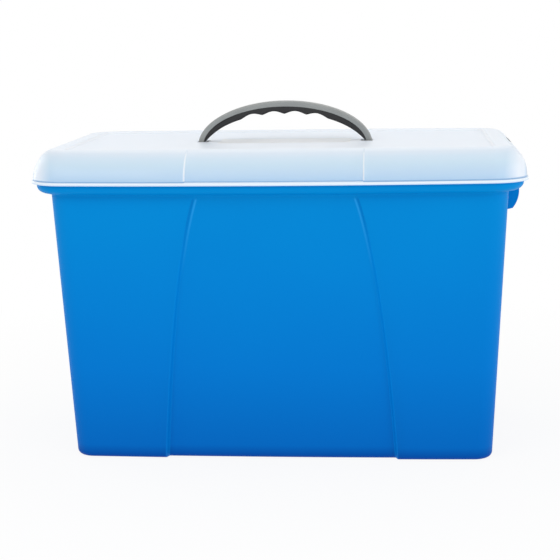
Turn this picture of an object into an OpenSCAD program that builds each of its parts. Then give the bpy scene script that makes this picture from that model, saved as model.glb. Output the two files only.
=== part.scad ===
// Portable file box: a tapered tub, a lid with a raised border and a carrying
// handle, two end latches and two rails for hanging folders.
// Millimetres. +Z up, X along the length, the front faces -Y.
// The origin is the centre of the tub's underside.

/* [Tub] */
// Half of the tub's length at the top of the walls
tub_top_x = 214.3; // [190:0.1:240]
// Half of the tub's length at the base
tub_base_x = 202.3; // [180:0.1:228]
// Half of the tub's depth at the top of the walls, at the corners
tub_top_y = 122; // [100:0.5:150]
// Half of the tub's depth at the base, at the corners
tub_base_y = 104; // [88:0.5:132]
// Height of the walls up to the rim
wall_top = 259.7; // [200:0.1:320]
// Thickness of the walls
wall = 2.5; // [1.8:0.1:4]
// Thickness of the floor
floor_t = 3; // [2:0.1:5]
// Radius of the upright corners, in plan
corner_r = 22; // [14:0.5:32]
// Radius of the edge round the floor
foot_r = 5; // [3:0.5:8]
// How far the long walls bow out at the top
bow_top = 8.5; // [2:0.1:12]
// How far the long walls bow out at the base
bow_base = 3.2; // [0:0.1:6]

/* [Rim] */
// How far the rim stands out of the end walls
rim_out = 14; // [12:0.1:18]
// How far the rim stands out of the long walls
rim_out_y = 12; // [10:0.1:16]
// Height of the rim above the walls
rim_h = 9.7; // [8:0.1:14]
// Rise from the walls' top to the ledge inside the rim
ledge_rise = 2.5; // [2:0.1:3.5]

/* [Centre panel] */
// Half width of the set-back panel at the top of the wall
panel_top_w = 73.6; // [50:0.1:90]
// Half width of the set-back panel at the base
panel_base_w = 110.9; // [95:0.1:135]
// How far the panel is set back at the base
panel_depth = 5.5; // [2:0.1:8]
// How far the panel is set back at the top
panel_top_depth = 2; // [0.5:0.1:3]
// Half width of the slope at the panel's edge
panel_slope = 1.8; // [1:0.1:4]

/* [Lid] */
// How far the lid's lip stands out past the rim
lip_out = 4; // [2:0.1:6]
// Thickness of the lip
lip_t = 2.8; // [2:0.1:4]
// Height of the raised border above the rim's top
lid_h = 31; // [24:0.1:40]
// Depth of the top panel below the raised border
top_recess = 2.2; // [1.6:0.1:4]
// Width from the lip's edge to the border's inner edge, at the ends
border_x = 31; // [26:0.1:38]
// Width from the lip's edge to the border's inner edge, along the sides
border_y = 31; // [24:0.1:36]
// Width of the flat on top of the border, at the ends
border_flat_x = 12; // [8:0.1:14]
// Width of the flat on top of the border, along the sides
border_flat_y = 4; // [2:0.1:6]
// Bow of the border's long sides
border_bow = 4; // [1:0.1:8]
// Thickness of the lid
lid_t = 2.4; // [1.8:0.1:3]
// Depth of the skirt that drops inside the rim
skirt_h = 6.2; // [4:0.1:6.8]
// Half width of the set-back middle of the lid's long faces
face_w = 81.7; // [60:0.1:110]
// How far that middle is set back
face_depth = 2; // [0.5:0.1:3]
// Half length of the finger trough under the handle
trough_x = 66; // [50:0.5:67]
// Half width of the finger trough
trough_y = 27; // [14:0.5:36]
// Depth of the finger trough below the top panel
trough_depth = 4; // [2:0.1:6]

/* [Handle] */
// Half width of the handle over its feet
handle_w = 87; // [75:0.5:110]
// Height of the handle's top above the lid's top panel
handle_h = 39.4; // [34:0.1:60]
// Thickness of the grey arch at its top
arch_t = 5.2; // [5:0.1:8]
// Thickness of the grey arch at its feet
arch_foot_t = 5.4; // [4.5:0.1:6]
// Thickness of the soft grip under the arch, at a finger ridge
grip_t = 7.3; // [6:0.1:9]
// Half depth of the handle at the grip
grip_y = 9; // [8:0.5:12]
// Half depth of the handle's legs
leg_y = 7; // [6:0.5:8]
// Distance between the finger ridges
finger_pitch = 21.8; // [18:0.1:24]
// Depth of the finger hollows
finger_depth = 2.8; // [1.5:0.1:3.5]
// Radius of the handle's pivot pins
pin_r = 2; // [1.6:0.1:2.1]
// Depth of the handle's pivots below the lid's top panel
pivot_drop = 5.2; // [5:0.1:7]
// Angle that the handle tilts to, either way
tilt_angle = 25; // [15:1:30]

/* [Latches] */
// Half width of each latch
latch_y = 24; // [16:0.5:34]
// Thickness of each latch
latch_t = 3.2; // [2.6:0.1:4]
// Height of the latch pin above the rim's top
latch_pin_z = 19.6; // [17:0.1:21]
// Distance of the latch pin inside the rim's outer edge
latch_pin_in = 4.3; // [3.5:0.1:5]
// Radius of the latch pin
latch_pin_r = 1.5; // [1.2:0.1:2]
// Radius of the latch's barrel
barrel_r = 3.4; // [3:0.1:4]
// How far the hook reaches in under the rim
hook_in = 2.7; // [1.5:0.1:3]

/* [End grips] */
// Half width of each end grip
grip_half = 45; // [36:0.5:70]
// Height of each end grip, below its shelf
end_grip_h = 22.2; // [20:0.1:30]
// Thickness of the end grip's skin
skin_t = 2.8; // [2:0.1:4]
// Drop from the walls' top to the end grip's shelf
shelf_drop = 2.5; // [2:0.1:4]

/* [Folder rails] */
// Distance between the rails' folder edges
rail_span = 394; // [380:1:396]
// Half length of each rail
rail_y = 92; // [60:1:100]
// Thickness of the rails
rail_t = 2; // [1.5:0.1:3]
// Height of the edge that the folders hang on
rail_edge = 7; // [4:0.1:9]

/* [Hidden] */
$fn = 64;

// Clearances
run_gap = 0.05;      // round a pin that turns
press_gap = 0.01;    // round a pin that is held
seat_gap = 0.05;     // between two pieces that are moulded face to face
side_gap = 0.4;      // beside a moving flat
skirt_gap = 0.6;     // between the lid's skirt and the rim
latch_gap = 2;       // at each side of a latch, in its pocket
barrel_gap = 1.1;    // behind a latch's barrel
latch_back_gap = 0.3; // behind a latch's plate, at the lip
over = 1;            // how far a cut runs past the face it opens

// Heights
rim_top = wall_top + rim_h;
ledge_z = wall_top + ledge_rise;
lid_top = rim_top + lid_h;
panel_z = lid_top - top_recess;
under_z = panel_z - lid_t;
handle_top = panel_z + handle_h;
pivot_z = panel_z - pivot_drop;

// Half lengths along X
rim_x = tub_top_x + rim_out;
rim_y = tub_top_y + rim_out_y;
lip_x = rim_x + lip_out;
lip_y = rim_y + lip_out;

// Colours
blue = [0.02, 0.47, 0.82];
frosted = [0.87, 0.92, 0.96];
grey = [0.58, 0.6, 0.61];
black = [0.16, 0.16, 0.17];
steel = [0.72, 0.73, 0.75];

function mix(a, b, t) = a + (b - a) * t;

// ---- Outlines -------------------------------------------------------------

arc_step = 15;

// X of each upright line along a long side, from -a to a, close together at w
function side_xs(a, w, e) = [
    -a, -(a + w + e) / 2, -(w + e), -w, -(w - e), -(w - e) * 0.67, -(w - e) * 0.33, 0,
    (w - e) * 0.33, (w - e) * 0.67, w - e, w, w + e, (a + w + e) / 2, a];

// 0 outside the set-back middle, 1 inside it, and a half on its edge
function inside(x, w, e) = abs(x) > w + e / 2 ? 0 : (abs(x) > w - e / 2 ? 0.5 : 1);

// One closed level of a rounded rectangle with bowed long sides
function ring(z, hx, hy, bow, r, w, e, cut) =
    let (a = hx - r, b = hy - r, xs = side_xs(a, w, e),
         long = [for (x = xs) [x, hy + bow * (1 - pow(x / a, 2)) - cut * inside(x, w, e)]],
         arc = [for (t = [arc_step : arc_step : 90 - arc_step]) [r * cos(t), r * sin(t)]],
         n = len(arc) - 1)
    concat(
        [for (p = long) [p[0], -p[1], z]],
        [for (i = [n : -1 : 0]) [a + arc[i][0], -b - arc[i][1], z]],
        [[hx, -b, z], [hx, b, z]],
        [for (i = [0 : n]) [a + arc[i][0], b + arc[i][1], z]],
        [for (i = [len(long) - 1 : -1 : 0]) [long[i][0], long[i][1], z]],
        [for (i = [n : -1 : 0]) [-a - arc[i][0], b + arc[i][1], z]],
        [[-hx, b, z], [-hx, -b, z]],
        [for (i = [0 : n]) [-a - arc[i][0], -b - arc[i][1], z]]);

// A closed solid through a list of levels, with a flat face at each end
module loft(rings) {
    m = len(rings[0]);
    last = len(rings) - 1;
    points = [for (level = rings) for (p = level) p];
    sides = [for (i = [0 : last - 1]) for (j = [0 : m - 1])
        [i * m + j, (i + 1) * m + j, (i + 1) * m + (j + 1) % m, i * m + (j + 1) % m]];
    first_cap = [for (j = [0 : m - 1]) j];
    last_cap = [for (j = [m - 1 : -1 : 0]) last * m + j];
    polyhedron(points, concat([first_cap, last_cap], sides), convexity = 10);
}

// ---- Tub ------------------------------------------------------------------

// Half width of the set-back panel at height z: it widens fast below the rim
edge_pull_z = 0.24;
edge_pull_w = 0.62;
function panel_w(z) =
    let (t = 1 - min(max(z / wall_top, 0), 1),
         s = (-edge_pull_z + sqrt(pow(edge_pull_z, 2) + (1 - 2 * edge_pull_z) * t))
             / (1 - 2 * edge_pull_z))
    mix(panel_top_w, panel_base_w, 2 * s * (1 - s) * edge_pull_w + s * s);

foot_tighten = 4;    // from the corners' radius at the walls' top to that at the base
least_r = 8;         // of any corner, in plan

function tub_ring(z, grow, grow_y = undef) =
    let (t = min(z / wall_top, 1))
    ring(z,
         mix(tub_base_x, tub_top_x, t) + grow,
         mix(tub_base_y, tub_top_y, t) + (is_undef(grow_y) ? grow : grow_y),
         mix(bow_base, bow_top, t),
         max(corner_r - foot_tighten * (1 - t) + grow, least_r),
         panel_w(z), panel_slope,
         z > wall_top ? 0 : mix(panel_depth, panel_top_depth, t));

wall_levels = [0.2, 0.4, 0.58, 0.76, 0.9];
// Rounded underside of the rim: share of its reach, and rise as a share of its height
rim_curve = [[0.36, 0.02], [0.68, 0.14], [0.87, 0.39], [0.97, 0.69], [1, 1]];

ledge_round = 1;     // where the ledge meets the inside of the rim

module tub_shell() {
    loft(concat(
        [tub_ring(0, -foot_r), tub_ring(0.3 * foot_r, -0.3 * foot_r), tub_ring(foot_r, 0)],
        [for (t = wall_levels) tub_ring(t * wall_top, 0)],
        [tub_ring(wall_top, 0)],
        [for (p = rim_curve) tub_ring(wall_top + p[1] * rim_h, p[0] * rim_out, p[0] * rim_out_y)],
        [tub_ring(rim_top, rim_out - wall, rim_out_y - wall)],
        [tub_ring(ledge_z + ledge_round, rim_out - wall, rim_out_y - wall)],
        [tub_ring(ledge_z, rim_out - wall - ledge_round, rim_out_y - wall - ledge_round)],
        [tub_ring(ledge_z, -wall)],
        [for (i = [len(wall_levels) - 1 : -1 : 0]) tub_ring(wall_levels[i] * wall_top, -wall)],
        [tub_ring(floor_t + foot_r, -wall), tub_ring(floor_t, -wall - foot_r)]));
}

shelf_top = wall_top - shelf_drop;
grip_x = rim_x;
grip_curve_r = 27;
// The end wall's outer face at height z, which the grip's root seats on
function end_wall_x(z) = mix(tub_base_x, tub_top_x, z / wall_top) + seat_gap;
grip_curve = 39;
grip_low_z = shelf_top - end_grip_h;
grip_arc_z = grip_low_z + grip_curve_r * sin(grip_curve);
cheek_drop = 2;      // drop of the cheek's lower corner at the wall, below the skin's end

// Profile of an end grip's outer skin, offset inwards by t, from top to bottom
grip_steps = 6;
function grip_arc(t) = [for (i = [0 : grip_steps])
    let (a = grip_curve * i / grip_steps, r = grip_curve_r - t)
    [grip_x - grip_curve_r + r * cos(a), grip_arc_z - r * sin(a)]];

// The hood of the right end grip: a shelf, a curved skin and a cheek at each side
module end_grip() {
    inner = grip_arc(skin_t);
    shelf_low = shelf_top - skin_t;
    cheek_low = grip_low_z - cheek_drop;
    top = [[end_wall_x(shelf_top), shelf_top], [grip_x, shelf_top]];
    color(blue)
        rotate([90, 0, 0]) {
            linear_extrude(2 * grip_half, center = true)
                polygon(concat(
                    top, grip_arc(0), [for (i = [len(inner) - 1 : -1 : 0]) inner[i]],
                    [[grip_x - skin_t, shelf_low], [end_wall_x(shelf_low), shelf_low]]));
            for (side = [-1, 1])
                translate([0, 0, side * (grip_half - skin_t / 2)])
                    linear_extrude(skin_t, center = true)
                        polygon(concat(top, grip_arc(0), [[end_wall_x(cheek_low), cheek_low]]));
        }
}

module left_end_grip() {
    mirror([1, 0, 0])
        end_grip();
}

module right_end_grip() {
    end_grip();
}

module tub() {
    color(blue)
        tub_shell();
}

// ---- Lid ------------------------------------------------------------------

lip_widen = 2;       // of the lip's corner radius past the rim's
lip_r = corner_r + rim_out + lip_widen;
skirt_out = lip_out + wall + skirt_gap;

// One level of the lid: its height, its inset from the lip, the set-back depth,
// and how fast the corners tighten as the inset grows. The bow eases from the
// rim's to the border's on the way in.
least_lid_r = 10;    // of the lid's corners, in plan
function lid_ring(z, in_x, in_y, cut = 0, tighten = 0.8) =
    ring(z, lip_x - in_x, lip_y - in_y,
         mix(bow_top, border_bow, min(in_y / border_y, 1)),
         max(lip_r - tighten * in_x, least_lid_r), face_w, face_slope, cut);

// The rounded face, as a share of the way in from its foot to the border's flat,
// and a share of the drop from the border's top to the lip
face_slope = 1;
shoulder = [[1, 0], [0.85, 0.03], [0.67, 0.1], [0.43, 0.25], [0.18, 0.5], [0.05, 0.75]];
face_in = 1.3;
face_h = lid_h - lip_t;
face_turn = 0.95;

// A level of the face at a share of the way in and a share of the drop, moved
// in by t all round and down by dz
function face_ring(p, t = 0, dz = 0) =
    lid_ring(lid_top - p[1] * face_h - dz,
             mix(face_in, border_x - border_flat_x, p[0]) + t,
             mix(face_in, border_y - border_flat_y, p[0]) + t, face_depth, face_turn);

border_ring_in = 0.8;    // from the border's inner edge to the top of its slope
border_run = 1.2;        // from the border's inner edge to the foot of its slope
skirt_draft = 0.2;
lip_edge = 0.4;
lip_foot = 0.2;
ledge_cut = 0.5;         // of the ledge inside the skirt, below the lip's top

// Listed from the top panel outwards and back in to its underside
module lid_shell() {
    half_cut = face_depth / 2;
    top_x = border_x - border_ring_in;
    top_y = border_y - border_ring_in;
    low_x = border_x + border_run;
    low_y = border_y + border_run;
    lip_top = rim_top + lip_t;
    skirt_low = rim_top - skirt_h;
    skirt_in = skirt_out + lid_t;
    loft(reversed(concat(
        [lid_ring(panel_z, low_x, low_y, half_cut, face_turn)],
        [lid_ring(lid_top, top_x, top_y, half_cut, face_turn)],
        [for (p = shoulder) face_ring(p)],
        [lid_ring(lip_top + lip_foot, face_in, face_in, face_depth)],
        [lid_ring(lip_top, lip_edge, lip_edge)],
        [lid_ring(lip_top - lip_edge, 0, 0)],
        [lid_ring(rim_top, lip_foot, lip_foot)],
        [lid_ring(rim_top, skirt_out, skirt_out)],
        [lid_ring(skirt_low, skirt_out + skirt_draft, skirt_out + skirt_draft)],
        [lid_ring(skirt_low, skirt_in, skirt_in)],
        [lid_ring(lip_top - ledge_cut, skirt_in, skirt_in)],
        [lid_ring(lip_top, face_in + lid_t, face_in + lid_t, face_depth)],
        [for (i = [len(shoulder) - 1 : -1 : 1]) face_ring(shoulder[i], lid_t, lid_t / 2)],
        [lid_ring(lid_top - lid_t, top_x - lid_t, top_y - lid_t, half_cut, face_turn)],
        [lid_ring(under_z, low_x - lid_t, low_y - lid_t, half_cut, face_turn)])));
}

// Latch pocket at the right end
pocket_y = latch_y + latch_gap;
cheek_t = 3;
pocket_drop = 4.2;   // of the pocket's wall below the border's top, inside the lid
latch_pin_x = rim_x - latch_pin_in;
latch_pin_h = rim_top + latch_pin_z;
pocket_back = latch_pin_x - barrel_r - barrel_gap;
latch_in = rim_x + side_gap;
pocket_floor = 0.4;  // depth of the pocket's floor below the lip's top
pocket_lift = 0.2;   // of the pocket's floor above the lip's underside

module pocket_block() {
    rotate([90, 0, 0])
        linear_extrude(2 * (pocket_y + cheek_t), center = true)
            polygon([
                [pocket_back - lid_t, rim_top + pocket_lift],
                [lip_x - face_in - lid_t / 2, rim_top + pocket_lift],
                [latch_pin_x + latch_pin_r, latch_pin_h],
                [pocket_back, lid_top - pocket_drop],
                [pocket_back - lid_t, lid_top - pocket_drop]]);
}

module pocket_cut() {
    translate([pocket_back, -pocket_y, rim_top + lip_t - pocket_floor])
        cube([lip_x - pocket_back + over, 2 * pocket_y, lid_h]);
    translate([latch_in - latch_back_gap, -pocket_y, rim_top - over])
        cube([lip_out + over, 2 * pocket_y, lip_t + 2 * over]);
    translate([latch_pin_x, 0, latch_pin_h])
        rotate([90, 0, 0])
            cylinder(r = latch_pin_r + press_gap, h = 2 * (pocket_y + cheek_t) + over, center = true);
}

// The arch's and the grip's curves, which the feet's slots follow
arch_in_w = handle_w - arch_foot_t;
arch_sink = 4.6;     // of the arch's base below the lid's top panel
arch_base = panel_z - arch_sink;
arch_in_top = handle_top - arch_t;
grip_low_top = arch_in_top - grip_t;

// The grip's lower edge is part of a wider and deeper curve, cut off at its feet
grip_wider = 13.2;
grip_deeper = 37.8;
grip_w = arch_in_w + grip_wider;
grip_base = arch_base - grip_deeper;
grip_power = 2.3;
grip_foot_h = 1;     // of the grip's feet above the lid's top panel
function grip_edge(x) = grip_base
    + (grip_low_top - grip_base) * pow(1 - pow(abs(x) / grip_w, grip_power), 1 / grip_power);
function grip_edge_x(z) =
    grip_w * pow(1 - pow((z - grip_base) / (grip_low_top - grip_base), grip_power), 1 / grip_power);

// The right foot's slot, and the ears on each side of it
foot_out = handle_w;
slot_out = foot_out + side_gap;
ear_t = 3.1;
ear_side = 1;        // of an ear past the leg, front and back
ear_y = leg_y + ear_side;
// How high above the pivots the tilted handle's legs leave the slot, how far
// from the lid's centre plane they then are, and how far in the slot reaches
leg_clear = (pivot_drop + leg_y * sin(tilt_angle)) / cos(tilt_angle);
slot_y = leg_y * cos(tilt_angle) + leg_clear * sin(tilt_angle) + side_gap;
slot_in = grip_edge_x(pivot_z + leg_clear) - side_gap;

module ears() {
    for (x = [slot_in - ear_t, slot_out])
        translate([x, -ear_y, pivot_z - leg_y])
            cube([ear_t, 2 * ear_y, under_z - pivot_z + leg_y + lid_t / 2]);
}

module foot_cut() {
    translate([slot_in, -slot_y, under_z - over])
        cube([slot_out - slot_in, 2 * slot_y, lid_t + 2 * over]);
    translate([slot_in - ear_t - over, 0, pivot_z])
        rotate([0, 90, 0])
            cylinder(r = pin_r + press_gap, h = slot_out - slot_in + 2 * (ear_t + over));
}

module lid() {
    color(frosted)
        difference() {
            union() {
                lid_shell();
                translate([-trough_x - lid_t, -trough_y - lid_t, under_z - trough_depth])
                    cube([2 * (trough_x + lid_t), 2 * (trough_y + lid_t), trough_depth + lid_t / 2]);
                for (side = [0, 1])
                    mirror([side, 0, 0]) {
                        pocket_block();
                        ears();
                    }
            }
            for (side = [0, 1])
                mirror([side, 0, 0]) {
                    pocket_cut();
                    foot_cut();
                }
            translate([-trough_x, -trough_y, panel_z - trough_depth])
                cube([2 * trough_x, 2 * trough_y, trough_depth + over]);
        }
}

// ---- Handle ---------------------------------------------------------------

// Curve over the feet, from right to left: half width, top, base and the power
// of its superellipse, which is 2 for an ellipse
arch_steps = 40;
function arch(w, top, base, power = 2) = [for (i = [0 : arch_steps])
    let (t = 180 * i / arch_steps, c = cos(t))
    [w * sign(c) * pow(abs(c), 2 / power), base + (top - base) * pow(sin(t), 2 / power)]];
function reversed(list) = [for (i = [len(list) - 1 : -1 : 0]) list[i]];

// The handle's depth: narrow legs that widen to the grip
leg_h = 20;          // of the narrow legs, above the pivots
widen_h = 7;         // over which they widen
widen_z = pivot_z + leg_h;
module depth_profile(half) {
    rotate([90, 0, 90])
        linear_extrude(2 * (handle_w + over), center = true)
            polygon([
                [-leg_y, pivot_z - leg_y], [leg_y, pivot_z - leg_y],
                [leg_y, widen_z], [half, widen_z + widen_h], [half, handle_top + over],
                [-half, handle_top + over], [-half, widen_z + widen_h], [-leg_y, widen_z]]);
}

// The grey arch: the space between two half ellipses
module arch_band() {
    rotate([90, 0, 0])
        linear_extrude(2 * grip_y, center = true)
            polygon(concat(
                arch(handle_w, handle_top, arch_base),
                reversed(arch(arch_in_w, arch_in_top, arch_base))));
}

// The right foot: a leg that is rounded below the lid's top, and a hub beside it
hub_in = slot_in + side_gap;
hub_gap = 0.3;       // from a hub up to the level of the lid's top panel
hub_r = pivot_drop - hub_gap;
foot_lap = 2;        // of a foot over the end of the arch
module foot() {
    translate([arch_in_w, -leg_y, pivot_z])
        cube([arch_foot_t, 2 * leg_y, arch_base - pivot_z + foot_lap]);
    translate([0, 0, pivot_z])
        rotate([0, 90, 0]) {
            translate([0, 0, arch_in_w])
                cylinder(r = leg_y, h = arch_foot_t);
            translate([0, 0, hub_in])
                cylinder(r = hub_r, h = foot_out - hub_in);
        }
}

module foot_bore() {
    translate([hub_in - over, 0, pivot_z])
        rotate([0, 90, 0])
            cylinder(r = pin_r + run_gap, h = foot_out - hub_in + 2 * over);
}

module handle() {
    color(grey)
        difference() {
            union() {
                intersection() {
                    arch_band();
                    depth_profile(grip_y);
                }
                foot();
                mirror([1, 0, 0])
                    foot();
            }
            foot_bore();
            mirror([1, 0, 0])
                foot_bore();
        }
}

finger_xs = [for (i = [-1.5 : 1 : 1.5]) i * finger_pitch];
finger_r = (pow(finger_pitch / 2, 2) + pow(finger_depth, 2)) / (2 * finger_depth);
finger_sink = 0.35;  // of the hollows' arcs below the grip's lower edge
grip_side = 0.5;     // from the arch's flank to the grip's

// The soft grip: below the arch's inner edge and above its own lower edge
module handle_grip() {
    seat = arch(arch_in_w - seat_gap, arch_in_top - seat_gap, arch_base);
    low = arch(grip_w, grip_low_top, grip_base, grip_power);
    color(black)
        intersection() {
            difference() {
                rotate([90, 0, 0])
                    linear_extrude(2 * grip_y, center = true)
                        difference() {
                            polygon(seat);
                            polygon(low);
                        }
                for (x = finger_xs)
                    translate([x, 0, grip_edge(x) - finger_r + finger_depth - finger_sink])
                        rotate([90, 0, 0])
                            cylinder(r = finger_r, h = 2 * grip_y + over, center = true);
                translate([-handle_w, -grip_y - over, arch_base - over])
                    cube([2 * handle_w, 2 * (grip_y + over), panel_z + grip_foot_h - arch_base + over]);
            }
            depth_profile(grip_y - grip_side);
        }
}

pin_head_t = 1.8;
pin_head_gap = 0.3;  // between a pin's head and the underside of the top panel
pin_head_r = under_z - pivot_z - pin_head_gap;
pin_tail = 0.8;      // of the pin past the inner ear

// The right handle pin: its head bears on the outer ear
module handle_pin() {
    tail_x = slot_in - ear_t - pin_tail;
    head_x = slot_out + ear_t;
    color(steel)
        translate([0, 0, pivot_z])
            rotate([0, 90, 0]) {
                translate([0, 0, tail_x])
                    cylinder(r = pin_r, h = head_x + pin_head_t - tail_x);
                translate([0, 0, head_x])
                    cylinder(r = pin_head_r, h = pin_head_t);
            }
}

module left_handle_pin() {
    mirror([1, 0, 0])
        handle_pin();
}

module right_handle_pin() {
    handle_pin();
}

// ---- Latches --------------------------------------------------------------

latch_out = latch_in + latch_t;
latch_hang = 1;      // of the latch's lower edge above the end grip's shelf
latch_low = shelf_top + latch_hang;
hook_tip = latch_in - hook_in;
hook_t = 3.2;
hook_web = 3.2;      // height of the slope behind the hook
thumb_out = 1.2;     // of the thumb edge in front of the latch's plate
thumb_h = 1.6;
thumb_blend = 5;     // height over which the thumb edge runs out into the plate
latch_neck = 0.4;    // height of the plate's outer bend above the lip
barrel_lean = 20;    // angle up the barrel where the plate's outer face meets it

// The right latch: a plate with a barrel at its top and a hook under the rim
module latch() {
    color(frosted)
        difference() {
            union() {
                rotate([90, 0, 0])
                    linear_extrude(2 * latch_y, center = true)
                        polygon([
                            [hook_tip, latch_low], [latch_out + thumb_out, latch_low],
                            [latch_out + thumb_out, latch_low + thumb_h],
                            [latch_out, latch_low + thumb_blend],
                            [latch_out, rim_top + lip_t + latch_neck],
                            [latch_pin_x + barrel_r * cos(barrel_lean),
                             latch_pin_h + barrel_r * sin(barrel_lean)],
                            [latch_pin_x, latch_pin_h - latch_pin_r - run_gap],
                            [latch_in, rim_top + lip_t + latch_neck],
                            [latch_in, latch_low + hook_t + hook_web],
                            [hook_tip, latch_low + hook_t]]);
                translate([latch_pin_x, 0, latch_pin_h])
                    rotate([90, 0, 0])
                        cylinder(r = barrel_r, h = 2 * latch_y, center = true);
            }
            translate([latch_pin_x, 0, latch_pin_h])
                rotate([90, 0, 0])
                    cylinder(r = latch_pin_r + run_gap, h = 2 * latch_y + over, center = true);
        }
}

module left_latch() {
    mirror([1, 0, 0])
        latch();
}

module right_latch() {
    latch();
}

pin_inset = 0.6;     // of the latch pin's length inside the cheeks

module latch_pin() {
    color(steel)
        translate([latch_pin_x, 0, latch_pin_h])
            rotate([90, 0, 0])
                cylinder(r = latch_pin_r, h = 2 * (pocket_y + cheek_t) - pin_inset, center = true);
}

module left_latch_pin() {
    mirror([1, 0, 0])
        latch_pin();
}

module right_latch_pin() {
    latch_pin();
}

// ---- Folder rails ---------------------------------------------------------

rail_in = rail_span / 2;
rail_side_gap = 3.6; // from the rail's outer edge to the lid's skirt
rail_out = tub_top_x + rim_out - wall - skirt_gap - lid_t - rail_side_gap;
rail_clip = 9;       // length of the clip leg
clip_gap = 1;        // between the clip leg and the wall, at the top
clip_out = tub_top_x - wall - clip_gap;
clip_lean = 0.4;     // of the clip leg, the way the wall tapers

// The right rail: a strip on the tub's ledge, a clip leg inside the wall, and
// an upturned edge that the folders' hooks hang on
module file_rail() {
    color(blue)
        rotate([90, 0, 0])
            linear_extrude(2 * rail_y, center = true)
                polygon([
                    [rail_in, ledge_z], [clip_out - rail_t, ledge_z],
                    [clip_out - rail_t - clip_lean, ledge_z - rail_clip],
                    [clip_out - clip_lean, ledge_z - rail_clip], [clip_out, ledge_z],
                    [rail_out, ledge_z], [rail_out, ledge_z + rail_t],
                    [rail_in + rail_t, ledge_z + rail_t], [rail_in + rail_t, ledge_z + rail_edge],
                    [rail_in, ledge_z + rail_edge]]);
}

module left_file_rail() {
    mirror([1, 0, 0])
        file_rail();
}

module right_file_rail() {
    file_rail();
}

tub();
left_end_grip();
right_end_grip();
lid();
handle();
handle_grip();
left_handle_pin();
right_handle_pin();
left_latch();
right_latch();
left_latch_pin();
right_latch_pin();
left_file_rail();
right_file_rail();
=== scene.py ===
"""Looks of the portable file box: blue tub, frosted lid, grey and black handle.

The shapes are in millimetres and turn into metres where a mesh is made, and so
does the camera's place. The materials, lamps and floor are in metres, with MM
where they use a size of the shapes. +Z is up and the front faces -Y.
"""

import math

import bmesh
import bpy
from mathutils import Matrix, Vector


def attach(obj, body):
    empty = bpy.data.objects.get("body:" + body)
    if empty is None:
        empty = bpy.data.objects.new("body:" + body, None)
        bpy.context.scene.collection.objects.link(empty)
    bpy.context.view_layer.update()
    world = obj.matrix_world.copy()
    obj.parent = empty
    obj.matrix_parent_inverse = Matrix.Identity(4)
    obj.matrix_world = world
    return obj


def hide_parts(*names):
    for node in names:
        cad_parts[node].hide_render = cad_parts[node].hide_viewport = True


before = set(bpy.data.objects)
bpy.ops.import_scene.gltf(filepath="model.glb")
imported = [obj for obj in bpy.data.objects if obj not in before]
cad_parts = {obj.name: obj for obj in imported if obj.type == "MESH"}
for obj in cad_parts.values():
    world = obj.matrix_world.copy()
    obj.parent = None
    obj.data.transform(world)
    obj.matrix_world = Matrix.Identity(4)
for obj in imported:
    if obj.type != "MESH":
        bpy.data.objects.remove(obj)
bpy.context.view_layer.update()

MM = 0.001

# ---- Driving sizes, as in the CAD source ------------------------------------

TUB_TOP = (214.3, 122.0)       # half length and half depth at the top of the walls
TUB_BASE = (202.3, 104.0)      # the same at the foot
WALL_TOP = 259.7
WALL = 2.5
FLOOR = 3.0
CORNER_R = 22.0
CORNER_R_LESS = 4.0            # how much tighter the corners are at the foot
FOOT_R = 5.0
BOW_TOP = 8.5                  # how far the long walls bow out, at the top and at the foot
BOW_BASE = 3.2
RIM_OUT = 14.0                 # how far the rim stands out, at the ends and along the sides
RIM_OUT_Y = 12.0
RIM_H = 9.7
LEDGE_RISE = 2.5
PANEL_TOP_W = 73.6             # half width of the set-back panel, at the top and at the foot
PANEL_BASE_W = 110.9
PANEL_DEPTH = 5.5              # how far it is set back, at the foot and at the top
PANEL_TOP_DEPTH = 2.0
PANEL_SLOPE = 1.5              # half width of the slope along its edge

LIP_OUT = 4.0                  # how far the lid's lip stands out past the rim
LIP_T = 2.8
LID_H = 31.0
LID_T = 2.4
TOP_RECESS = 2.2               # how far the top panel lies below the border
BORDER_X = 31.0                # from the lip's edge to the border's inner edge
BORDER_Y = 31.0
BORDER_FLAT_X = 12.0           # width of the border's flat part, at the ends and along the sides
BORDER_FLAT_Y = 4.0
BORDER_BOW = 4.0
SKIRT_H = 6.2
SKIRT_GAP = 0.6
FACE_W = 81.7                  # half width of the set-back middle of the long faces
FACE_DEPTH = 2.0
FACE_SLOPE = 0.9
FACE_IN = 1.3                  # how far inside the lip's edge the face starts
TROUGH = (66.0, 27.0, 4.0)     # finger trough: half length, half width and depth
TROUGH_SLOPE = 9.0             # how far its sides lean in, which is this script's own

HANDLE_W = 87.0                # half width over the feet
HANDLE_H = 39.4                # height over the top panel
ARCH_T = 5.2                   # thickness of the grey arch, at its top and at its feet
ARCH_FOOT_T = 5.4
GRIP_T = 7.3                   # thickness of the soft grip at its top
GRIP_Y = 9.0                   # half depth of the arch at its top
LEG_Y = 7.0                    # half depth of its legs
TILT = math.radians(25)
SIDE_GAP = 0.4
FINGER_PITCH = 21.8
FINGER_DEPTH = 2.8
PIVOT_DROP = 5.2               # from the top panel down to the handle's pivot

POCKET_Y = 26.0                # half width of the pocket that each latch lies in
CHEEK_T = 3.0
LATCH_PIN_IN = 4.3             # from the rim's edge in to the latch's pin
LATCH_PIN_RISE = 19.6          # from the rim's top up to the latch's pin
POCKET_PAST_PIN = 4.5          # from the pin in to the pocket's back wall
END_GRIP_Y = 45.0
END_GRIP_H = 22.2
SKIN_T = 2.8

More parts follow.
